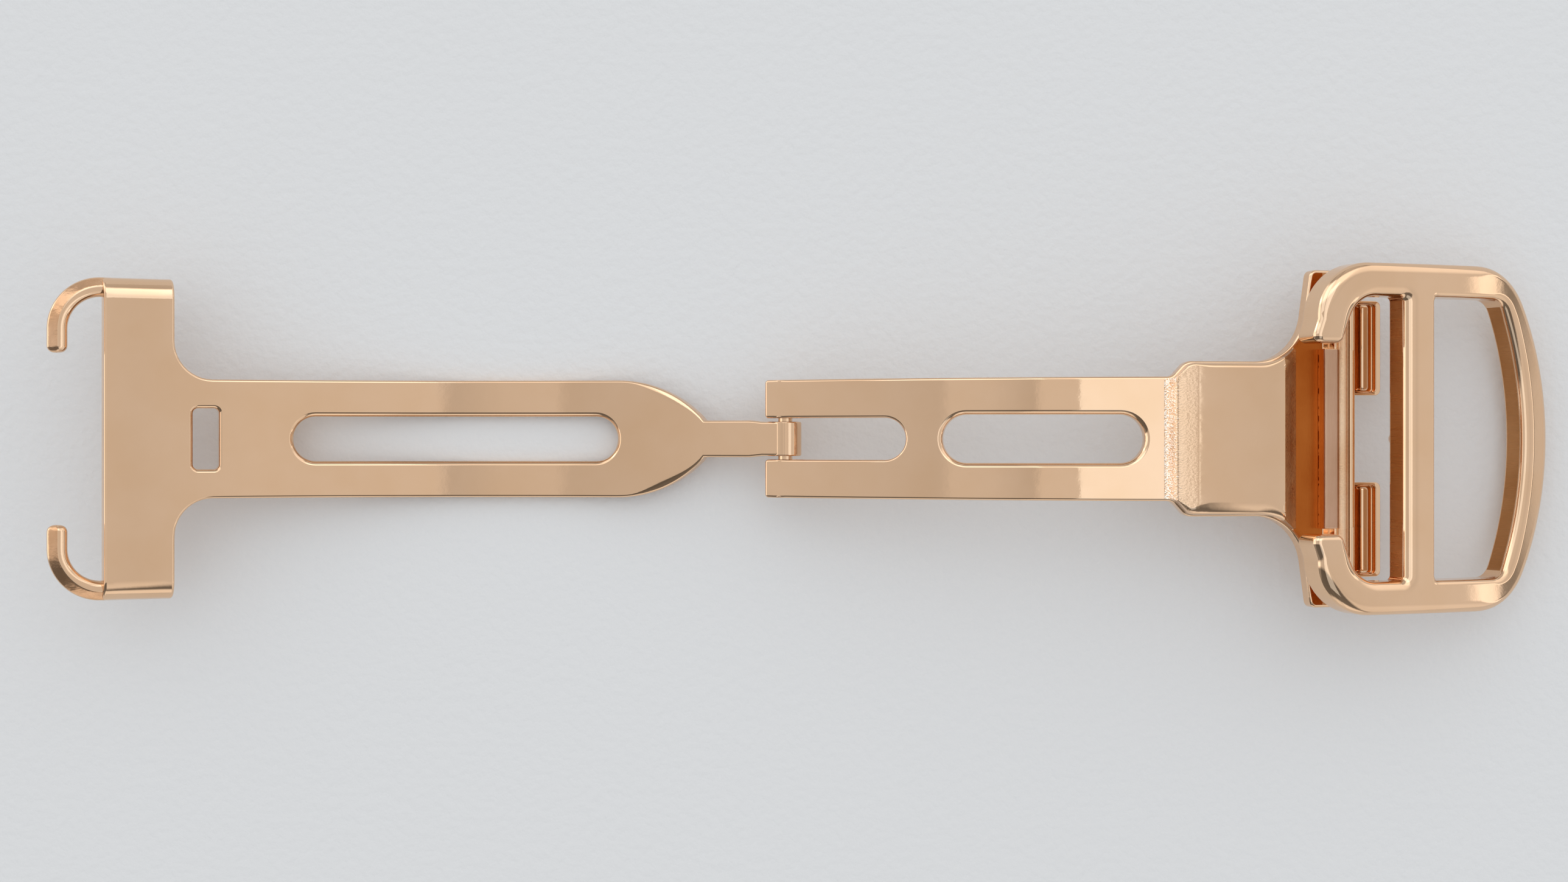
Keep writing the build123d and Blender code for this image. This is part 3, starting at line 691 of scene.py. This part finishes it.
flare = np.vstack([
    arc((flare_x, flare_y), flare_radius, -90, -wing_angle, 24),
    arc((corner_x + wing_corner / np.cos(wing_lean), wing_half), wing_corner, 180 - wing_angle, 90, 9),
])
flare[:, 0] = station_at(flare[:, 0], 1)
tongue_gap_end = arc((6.25, 0), 1.2, 0, 90, 16)
knuckle_side = corner_run([[2, 1.2], [-0.9, 1.2], [-0.9, 3.42], [2, 3.42]], [0.2, 0.2])
neck_step = corner_run([[20, 3.52], [22.25, 3.52], [23.05, neck_side], [25, neck_side]], [0.7, 0.7])
wing_and_tab = corner_run([
    [31, 9.65], [32.95, 9.65], [32.95, 9.19], [31.13, 9.19], [31.13, 7.95], [34.88, 7.95],
    [34.88, 2.5], [32.77, 2.5], [32.77, 0],
], [0.2, 0.2, 0.1, 0.1, 0.35, 0.35, 0.1])
short_half = np.vstack([
    tongue_gap_end, knuckle_side, neck_step, flare, wing_and_tab, [[32.77, 0]]
])
short_slot = slot_outline(9.5, 20.75, 1.37)
tray = rounded([[32.6, 2.66], [34.54, 2.66], [34.54, 7.79], [32.6, 7.79]], [0.1, 0.25, 0.25, 0.1])
tray_rim = {"width": 0.05, "height": 0.05, "foot": 0.07, "floor": tray_floor}
short_points = divided(mirrored(short_half), 0.35, creases=channel)
by_tray = (short_points[:, 0] > 32.5) & (abs(short_points[:, 1]) < 8)
short_edge = np.where(by_tray, 0.06, blade_edge)


def channel_painted_shade(kind, middle):
    """The channel beside the neck and the trays' floors take painted shade: dark orange, a little
    rougher.
    """
    in_channel = (kind == "top") & (middle[:, 0] > channel[0]) & (middle[:, 0] < channel[1])
    return np.where(in_channel | (kind == "floor"), 1, 0)


# Painted shade: the deep orange of light bounced between gold walls, put into the colour of the channel
# and the trays' floors.
recess_painted_shade_gold = gold(
    "recess_painted_shade_gold", colour=(0.50, 0.14, 0.025), shade=(0.40, 0.09, 0.012),
    roughness=0.10, haze=0.10, grain=0.05, scratch=0.3, stretch=(6, 0.1, 1),
)
short_shell = plate(on_short_blade, blade_low, blade_high, [
    {"points": short_points, "width": short_edge, "height": short_edge},
    {"points": divided(short_slot, 0.3, hole=True), **slot_rim},
    {"points": divided(tray, 0.3, hole=True), **tray_rim},
    {"points": divided(tray * [1, -1], 0.3, hole=True), **tray_rim},
], blade_grid, channel, channel_painted_shade)
short_blade = as_piece(
    "gilt_short_blade", [short_shell, knuckle(1.205, 3.415), knuckle(-3.415, -1.205)],
    [polished_gold, recess_painted_shade_gold], "short_side",
)
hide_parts("short_blade")

# Blade hinge pin
# A plain drawn pin of gilt brass through the three knuckles. It is a hair shorter than the
# hinge, and its ends are turned over a little.
pin_radius, pin_half = 0.42, 3.36
pin_profile = both_ends(round_end(pin_radius, 0.06), -pin_half, pin_half)
pin_shell = lathe(pin_profile, (hinge_x, hinge_z), 40)
hinge_pin = as_piece("gilt_hinge_pin", [pin_shell], [polished_gold], "short_side")
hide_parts("blade_hinge_pin")

# Neck plate
# A second plate brazed on the neck of the short blade. It rises from the blade in a soft step, which the
# polishing left scratched, with painted glints on the deeper scratches, and ends in a bevel over the
# channel, painted darker as shade.
neck_start, step_start, step_run = 21.8, 21.75, 0.7
rest_level, neck_thick = 1.75, 0.8
bevel_at, bevel_fall, bevel_soft = 28.46, 0.55 / 0.9, 0.0004
neck_end, neck_half_wide, neck_inset = 29.35, 5.12, 0.12
neck_creases = [21.92, 22.05, 22.18, 22.31, 22.44, 28.40, 28.44, 28.48, 28.52, 28.9]


def on_neck(local):
    """Row place of the neck plate. Its level is the share of its height that the plate has
    there: a smooth step up, the full 0.8 mm, and in the bevel a straight fall, which starts
    as half of a hyperbola."""
    station, across, level = local.T
    step = np.clip((station - step_start) / step_run, 0, 1)
    rise = neck_thick * step * step * (3 - 2 * step)
    past = station - bevel_at
    rise = rise - bevel_fall * (np.sqrt(past**2 + bevel_soft) + past) / 2
    return row_place(station, across, blade_high + rise * (level - blade_high) / neck_thick, 1)


def neck_bevel_shade_and_scratches(kind, middle):
    """The bevel is scratched and painted darker as shade, on its face and its edges."""
    return np.where((kind != "low") & (kind != "foot") & (middle[:, 0] > 28.45), 1, 0)


neck_turn = np.degrees(np.arccos((flare_y - neck_half_wide) / (flare_radius + neck_inset)))
neck_arc = arc((flare_x, flare_y), flare_radius + neck_inset, -90, neck_turn - 90, 16)
neck_arc[:, 0] = station_at(neck_arc[:, 0], 1)
neck_half = np.vstack([
    [[neck_start, 0]],
    corner_run(
        [[neck_start, 0], [neck_start, 3.38], [22.28, 3.41], [23.08, 4.28], [25, 4.28]],
        [0.05, 0.6, 0.7],
    ),
    neck_arc,
    corner_run([[28, neck_half_wide], [neck_end, neck_half_wide], [neck_end, 0]], [0.1]),
])
# Painted shade in the colour of the neck's bevel, with scratches in its surface.
scratched_gold_painted_shade = gold(
    "scratched_gold_painted_shade", colour=(0.50, 0.26, 0.12), shade=(0.40, 0.19, 0.08),
    roughness=0.22, haze=0.25, grain=0.5, scratch=0.9,
)
neck_left = side_view(neck_start, rest_level, 1)[0] / 1000
# Painted glint on the deeper scratches of the step, besides their relief.
worn_gold_painted_glint = gold(
    "worn_gold_painted_glint", **polish, stretch=(0.5, 1, 1), wear_and_glint=(neck_left + 0.0002, neck_left + 0.0018)
)
neck_points = divided(mirrored(neck_half), 0.3, creases=neck_creases)
neck_wide = np.where(neck_points[:, 1] > 0, 0.3, 0.95)
neck_edge = np.interp(neck_points[:, 0], [22.3, 24.2, 27.4, 28.8], [0, 1, 1, 0]) * neck_wide + 0.03
neck_rim = {
    "points": neck_points, "width": neck_edge, "height": np.minimum(neck_edge, 0.4), "foot": 0.02
}
neck_shell = plate(
    on_neck, blade_high, rest_level, [neck_rim], (0.35, 0.5), neck_creases, neck_bevel_shade_and_scratches
)
neck_plate = as_piece("gilt_neck_plate", [neck_shell], [worn_gold_painted_glint, scratched_gold_painted_shade], "short_side")
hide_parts("neck_plate")

# Strap rest bar
# A drawn bar brazed across the plate, with a satin land that the strap lies on and a round
# groove that holds the rod. Its ends are lower and narrower, under the buckle's rails.
rod_station, rod_level, rod_bore = 32.05, 1.4, 0.43
groove_level, land_half, bearing_end = 1.63, 5.12, 7.95
bar_grid = (0.3, 0.3)


def across_first(local):
    """Row place of station, level and distance across, for bars that run along Y."""
    station, level, across = local.T
    return row_place(station, across, level, 1)


def bar_section(left, left_side):
    """Section of the bar: its left side, the groove, and the right side and foot."""
    groove = arc((rod_station, rod_level), rod_bore, 147.6, 392.4, 28)
    right_side = corner_run([
        [32.41, groove_level], [32.77, groove_level], [32.77, blade_high], [left, blade_high],
        [left, groove_level],
    ], [0.07, 0, 0])
    return np.vstack([left_side, groove, right_side])


land = bar_section(30.85, corner_run(
    [[30.85, 1.3], [30.85, rest_level], [31.59, rest_level], [31.69, groove_level]], [0.07, 0.08]
))
bearing = bar_section(31.5, corner_run(
    [[31.5, 1.3], [31.5, groove_level], [31.69, groove_level]], [0.07]
))


def land_finish(kind, middle):
    """The land's face, which the strap lies on, is satin."""
    return np.where((kind == "wall") & (middle[:, 1] > 1.6) & (middle[:, 0] < 31.7), 1, 0)


satin_gold = gold(
    "satin_gold", colour=(0.66, 0.42, 0.29), shade=(0.60, 0.37, 0.24),
    roughness=0.38, haze=0.12, grain=0.2, scratch=0.6, stretch=(6, 0.2, 6),
)


def bar_rim(outline):
    """Rim of the bar's section, hardly turned over where the groove leaves a thin web."""
    points = divided(outline, 0.12)
    edge = np.where(points[:, 1] > 1.45, 0.05, 0.008)
    return {"points": points, "width": edge, "height": edge, "foot": edge}


rest_bar = as_piece("gilt_rest_bar", [
    plate(across_first, -land_half, land_half, [bar_rim(land)], bar_grid, finish=land_finish),
    plate(across_first, 5.0, bearing_end, [bar_rim(bearing)], bar_grid),
    plate(across_first, -bearing_end, -5.0, [bar_rim(bearing)], bar_grid),
], [polished_gold, satin_gold], "short_side")
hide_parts("strap_rest_bar")

# Grip bars
# Two short ridges of the same brass with rounded tops, brazed in the trays of the tabs. They
# bite the strap under the crossbar.
grip_rim = {"width": 0.18, "height": 0.22, "foot": 0.02}
for grip_name, grip_node, way in (
    ("gilt_upper_grip", "upper_grip_bar", 1), ("gilt_lower_grip", "lower_grip_bar", -1)
):
    ridge = rounded([[33.35, 2.76], [33.9, 2.76], [33.9, 7.69], [33.35, 7.69]], 0.2) * [1, way]
    grip_rims = [{"points": divided(ridge, 0.3), **grip_rim}]
    grip_shell = plate(on_short_blade, tray_floor, 1.3, grip_rims, (0.1, 0.3))
    grip = as_piece(grip_name, [grip_shell], [polished_gold], "short_side")
    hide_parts(grip_node)

# Frame hinge rod
# A turned rod held in the groove of the rest bar, on which the buckle's frame swings. Its
# ends pass through the lugs under the frame's rails.
rod_axis = side_view(rod_station, rod_level, 1)
rod_radius, rod_half = 0.4, 9.07
turned_gold = gold(
    "turned_gold", colour=(0.84, 0.58, 0.38), shade=(0.76, 0.46, 0.26),
    roughness=0.08, haze=0.12, grain=0.1, scratch=0.5, stretch=(0.3, 12, 0.3),
)
rod_shell = lathe(both_ends(round_end(rod_radius, 0.08), -rod_half, rod_half), rod_axis, 48)
hinge_rod = as_piece("gilt_hinge_rod", [rod_shell], [turned_gold], "short_side")
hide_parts("frame_hinge_rod")

# Buckle frame
# A cast and milled D with a crossbar, whose open end turns in to two prongs. The outer edge
# is turned over a little and the inner edges a lot; the inner walls keep milling marks and painted
# shade.
frame_low, frame_high, outline_level, touch_station = 2.85, 4.55, 3.7, 38
rail_outer, rail_inner, rail_corner, corner_radius = 9.88, 8.0, 6.68, 3.2
prong_gap, prong_inside, prong_bend, prong_lean = 5.32, 6.3, 1.7, 24
lug_start, lug_radius, lug_top = 8.07, 0.8, 3.2


def on_frame(local):
    """Row place of a point of the frame's own plane, which touches the curve at station 38,
    and a level: the station is where a line square to that plane meets the level."""
    along, across, level = local.T
    station = touch_station + curve_radius * np.arcsin(along / (curve_radius + level))
    return row_place(station, across, level, 1)


def along_frame(station):
    """Place along the frame's plane of a station, at the level of the outlines: on_frame
    undone."""
    return (curve_radius + outline_level) * np.sin((station - touch_station) / curve_radius)


def d_end(end_station, half, end_radius, corner):
    """Quarter outline of a D's end: an arc about a centre on the middle line, and a corner's
    arc that touches it and the straight side, where both centres and the touch line up."""
    centre = along_frame(end_station) - end_radius
    at = centre + np.sqrt((end_radius - corner) ** 2 - (half - corner) ** 2)
    turn = np.degrees(np.arctan2(half - corner, at - centre))
    return np.vstack([
        arc((centre, 0), end_radius, 0, turn, 24), arc((at, half - corner), corner, turn, 90, 14)[1:]
    ])


bar_left, bar_right = along_frame(34.15), along_frame(35.85)
prong_turned, prong_tip, prong_inner = along_frame(29.05), along_frame(28.62), along_frame(32.5)
lean = np.radians(prong_lean)
knee = np.array([
    prong_inner - prong_bend * np.cos(lean), prong_inside + prong_bend * np.sin(lean)
])
tip_end = knee[0] - (knee[1] - prong_gap) * np.tan(lean)
frame_half = np.vstack([
    d_end(43.9, rail_outer, 16.5, 3.9),
    arc((prong_turned + corner_radius, rail_corner), corner_radius, 90, 180, 20),
    corner_run(
        [[prong_turned, rail_corner], [prong_tip, prong_gap], [tip_end, prong_gap], knee],
        [0.45, 0.5],
    ),
    arc((prong_inner, prong_inside), prong_bend, 180 - prong_lean, 90, 12),
    corner_run([[-5, rail_inner], [bar_left, rail_inner], [bar_left, 0]], [0.3]),
    [[bar_left, 0]],
])
opening_half = np.vstack([
    d_end(42.15, rail_inner, 18.5, 1.1),
    corner_run([[0, rail_inner], [bar_right, rail_inner], [bar_right, 0]], [0.3]),
    [[bar_right, 0]],
])
frame_points = divided(mirrored(frame_half), 0.25)
opening_points = divided(mirrored(opening_half), 0.25, hole=True)

# How far the edge is turned over: round the inside of the prongs and the crossbar's left
# side, round the outside of the rails and less towards the D's end, and in the opening.
along, across = frame_points[:, 0], abs(frame_points[:, 1])
inner = (across < rail_inner + 0.01) & (along < bar_left + 0.01) & (along > tip_end - 0.02)
inner_share = np.clip((across - 5.6) / 1.2, 0, 1) * inner
inner_share[inner & (abs(along - bar_left) < 0.02)] = 1
outer_share = np.clip((across - 6.8) / 1.4, 0, 1)
by_end = np.clip((along - 1.0) / 1.2, 0, 1)
outer_share = np.where(along > 0, 1 - 0.8 * by_end, outer_share) * ~inner
opening_share = np.clip((opening_points[:, 0] - bar_right - 0.05) / 0.25, 0, 0.3)
opening_share += 0.7 * np.clip((opening_points[:, 0] - 2.0) / 1.2, 0, 1)


def frame_milled_shaded_walls(kind, middle):
    """The milled inner walls, painted darker as shade: the D's end, and the crossbar's left side."""
    end_wall = (middle[:, 0] > 2.5) & (middle[:, 0] < 4.6) & (abs(middle[:, 1]) < 7.6)
    bar_wall = (abs(middle[:, 0] - bar_left) < 0.1) & (abs(middle[:, 1]) < 7.8)
    return np.where((kind == "wall") & (end_wall | bar_wall), 1, 0)


def lug_rims():
    """Outline of a lug round the rod, straight up into the rail, and its bore."""
    outside = np.vstack([
        arc((rod_station, rod_level), lug_radius, 180, 360, 24),
        [[rod_station + lug_radius, lug_top], [rod_station - lug_radius, lug_top]],
    ])
    bore = arc((rod_station, rod_level), rod_bore, 0, 345, 24)
    edge = {"width": 0.08, "height": 0.08}
    return [{"points": divided(outside, 0.2), **edge}, {"points": divided(bore, 0.1, hole=True), **edge}]


# Painted shade: the inner walls' dark brown stands in for the shadowed gold they reflect; the stretched
# scratches are milling marks.
milled_gold_painted_shade = gold(
    "milled_gold_painted_shade", colour=(0.52, 0.25, 0.10), shade=(0.42, 0.18, 0.06),
    roughness=0.22, haze=0.15, grain=0.1, scratch=0.8, stretch=(0.2, 3, 0.05),
)
frame_rim = {
    "points": frame_points,
    "width": 0.4 + 0.38 * inner_share + 0.3 * outer_share,
    "height": 0.4 + 0.12 * inner_share + 0.1 * outer_share,
    "foot": 0.2,
}
opening_rim = {
    "points": opening_points,
    "width": 0.2 + 0.5 * opening_share,
    "height": 0.2 + 0.34 * opening_share,
    "foot": 0.15,
}
buckle_frame = as_piece("gilt_buckle_frame", [
    plate(on_frame, frame_low, frame_high, [frame_rim, opening_rim], (0.25, 0.25),
          finish=frame_milled_shaded_walls),
    plate(across_first, lug_start, rod_half, lug_rims(), bar_grid),
    plate(across_first, -rod_half, -lug_start, lug_rims(), bar_grid),
], [polished_gold, milled_gold_painted_shade], "swing_frame")
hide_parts("buckle_frame")

# Strap post
# A round post of gilt brass with a conical tip, set in the underside of the crossbar. It
# goes through a hole of the strap. Its CAD shape is right and only gets the polish.
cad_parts["strap_post"].data.materials[0] = polished_gold

# Floor, light and camera
# A sheet of pale grey card in even light from all round and a soft lamp on the upper side,
# seen from straight above. The metal mirrors a studio with lit and dark parts and two
# panels close over the clasp, which don't light the dull card.
floor_mesh = bpy.data.meshes.new("paper")
floor_mesh.from_pydata([(-2, -2, 0), (2, -2, 0), (2, 2, 0), (-2, 2, 0)], [], [(0, 1, 2, 3)])
floor = in_scene("paper", floor_mesh)
paper = bpy.data.materials.new("paper")
paper.use_nodes = True
card = paper.node_tree
card_place = node_in(card, "TexCoord").outputs["Object"]
fibre = node_in(card, "TexNoise", Vector=card_place, Scale=1800.0, Detail=4.0).outputs["Fac"]
felt = node_in(card, "Bump", Height=fibre, Strength=0.35, Distance=0.0002).outputs["Normal"]
card_tone = (0.885, 0.905, 0.925, 1)
set_up(card.nodes["Principled BSDF"], Base_Color=card_tone, Roughness=0.9, Normal=felt)
floor_mesh.materials.append(paper)

world = bpy.data.worlds.new("studio")
world.use_nodes = True
bpy.context.scene.world = world
sky = world.node_tree
direction = node_in(sky, "TexCoord").outputs["Generated"]
sky_parts = node_in(sky, "SeparateXYZ", Vector=direction)


def light_across(axis, stops):
    """Brightness of the studio by one part of the direction, which runs from -1 to 1, as
    straight runs between stops of a part and its brightness."""
    reach = node_in(sky, "MapRange", Value=sky_parts.outputs[axis], From_Min=-1.0)
    tone = node_in(sky, "ValToRGB", Fac=reach.outputs["Result"])
    for at, _ in stops[1:-1]:
        tone.color_ramp.elements.new((at + 1) / 2)
    for element, (_, light) in zip(tone.color_ramp.elements, stops):
        element.color = (light, light, light, 1)
    return tone.outputs["Color"]


def mixed(kind, factor, first, second):
    """Two lights mixed or multiplied, by a factor."""
    node = node_in(sky, "Mix", Factor=factor, A=first, B=second)
    node.blend_type = kind
    return node.outputs["Result"]


along_light = light_across("X", [
    (-1, 1.5), (-0.84, 1.5), (-0.77, 0.71), (-0.50, 0.66), (-0.27, 0.62), (-0.25, 0.72),
    (-0.13, 0.70), (-0.01, 0.60), (0.01, 0.77), (0.2, 0.75), (0.4, 0.74), (0.62, 0.68),
    (0.88, 0.75), (0.93, 0.75), (0.945, 1.4), (0.96, 1.4), (0.967, 0.3), (0.98, 0.3),
    (0.99, 0.7), (1, 0.7),
])
over_blades = light_across("Y", [
    (-1, 1.3), (-0.92, 1.3), (-0.85, 0.25), (-0.3, 0.2), (-0.22, 1.0), (0.4, 1.0), (0.5, 1.9),
    (0.8, 1.9), (0.88, 0.7), (1, 0.8),
])
over_buckle = light_across("Y", [
    (-1, 0.8), (-0.93, 0.5), (-0.87, 0.5), (-0.8, 1.2), (-0.5, 1.2), (-0.3, 1.0), (0.3, 1.0),
    (0.5, 1.5), (0.8, 1.7), (0.87, 0.3), (0.93, 0.3), (1, 0.8),
])
towards_buckle = light_across("X", [(-1, 0), (0.42, 0), (0.52, 1), (1, 1)])
across_light = mixed("MIX", towards_buckle, over_blades, over_buckle)
in_metal = mixed("MULTIPLY", 1.0, along_light, across_light)
on_paper = light_across("Y", [(-1, 0.48), (1, 1.0)])
ray = node_in(sky, "LightPath")
seen = mixed("MIX", ray.outputs["Is Glossy Ray"], on_paper, in_metal)
set_up(sky.nodes["Background"], Color=seen, Strength=1.0)

clasp_right = np.array([np.cos(clasp_tilt), 0.0, -np.sin(clasp_tilt)])
clasp_up = np.array([np.sin(clasp_tilt), 0.0, np.cos(clasp_tilt)])


def over_clasp(x, y, height):
    """Matrix of a lamp or camera that looks square to the clasp's own plane, from a height
    over it and a place along and across it from the hinge, all in mm."""
    place = np.array([hinge_x, y, hinge_z]) + x * clasp_right + height * clasp_up
    return Matrix([
        [clasp_right[0], 0.0, clasp_up[0], place[0] / 1000],
        [clasp_right[1], 1.0, clasp_up[1], place[1] / 1000],
        [clasp_right[2], 0.0, clasp_up[2], place[2] / 1000],
        [0.0, 0.0, 0.0, 1.0],
    ])


def panel(name, x_range, y_range, height, light):
    """Lamp panel over the clasp that only shows in the metal, given in mm, with the
    brightness that it adds to the surroundings there. Its power is brightness times pi
    times its area."""
    lamp = bpy.data.lights.new(name, "AREA")
    lamp.shape = "RECTANGLE"
    lamp.size, lamp.size_y = np.ptp(x_range) / 1000, np.ptp(y_range) / 1000
    lamp.energy = light * np.pi * lamp.size * lamp.size_y
    lamp.color = (0.85, 1.0, 1.15)
    shown = in_scene(name, lamp)
    shown.matrix_world = over_clasp(np.mean(x_range), np.mean(y_range), height)
    shown.visible_camera = False
    shown.visible_diffuse = False


panel("buckle_panel", (20, 42), (-40, 40), 47, 0.5)
panel("head_panel", (-24, 14), (17, 95), 50, 0.5)

key = bpy.data.lights.new("key", "AREA")
key.shape, key.size, key.energy = "DISK", 0.25, 0.035
soft_key = in_scene("key", key)
soft_key.location = (0.03, 0.10, 0.30)
soft_key.rotation_euler = (-0.32, 0.1, 0.0)
soft_key.visible_camera = False
soft_key.visible_glossy = False

camera = in_scene("camera", bpy.data.cameras.new("camera"))
camera.data.lens, camera.data.sensor_width = 51.1, 36.0
camera.data.clip_start, camera.data.clip_end = 0.01, 10.0
camera.matrix_world = over_clasp(-0.07, -0.124, 130.0)
bpy.context.scene.camera = camera
bpy.context.scene.view_settings.view_transform = "Standard"
